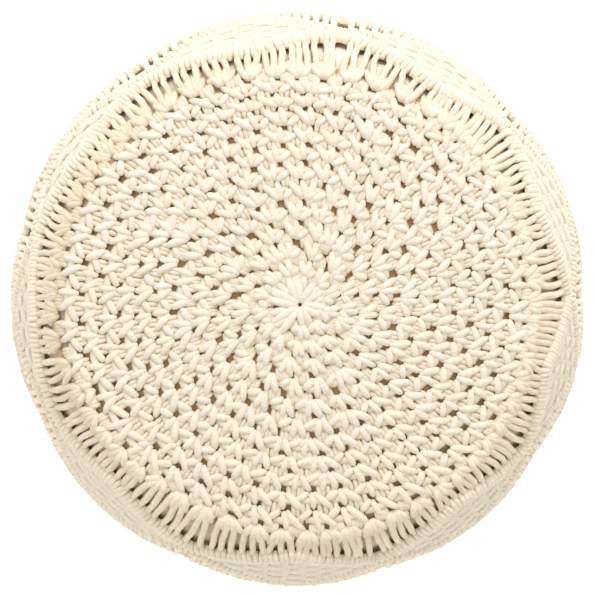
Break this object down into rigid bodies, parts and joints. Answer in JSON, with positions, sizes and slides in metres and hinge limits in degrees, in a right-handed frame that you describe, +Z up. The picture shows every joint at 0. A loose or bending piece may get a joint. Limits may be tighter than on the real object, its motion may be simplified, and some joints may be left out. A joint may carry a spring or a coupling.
{
  "type": "macrame pouf",
  "caption": "Round floor pouf: a filled cushion inside a cotton cover with a crocheted top and a macrame net of knotted diamonds and hanging cords round its side.",
  "frame": {"origin": "middle of the flat base, on the surface that the pouf stands on", "axes": "+Z up through the middle of the crocheted top; +Y towards the upper edge of the picture and +X towards its right edge"},
  "size_m": [0.4493, 0.4493, 0.3],
  "materials": {
    "crochet_yarn": "soft undyed cotton yarn, matte",
    "macrame_cord": "soft undyed cotton cord, matte",
    "cushion_casing": "plain woven off-white cotton, matte"
  },
  "bodies": {
    "root": {"crochet_top": "crochet_yarn", "macrame_side": "macrame_cord", "inner_cushion": "cushion_casing"}
  },
  "joints": []
}
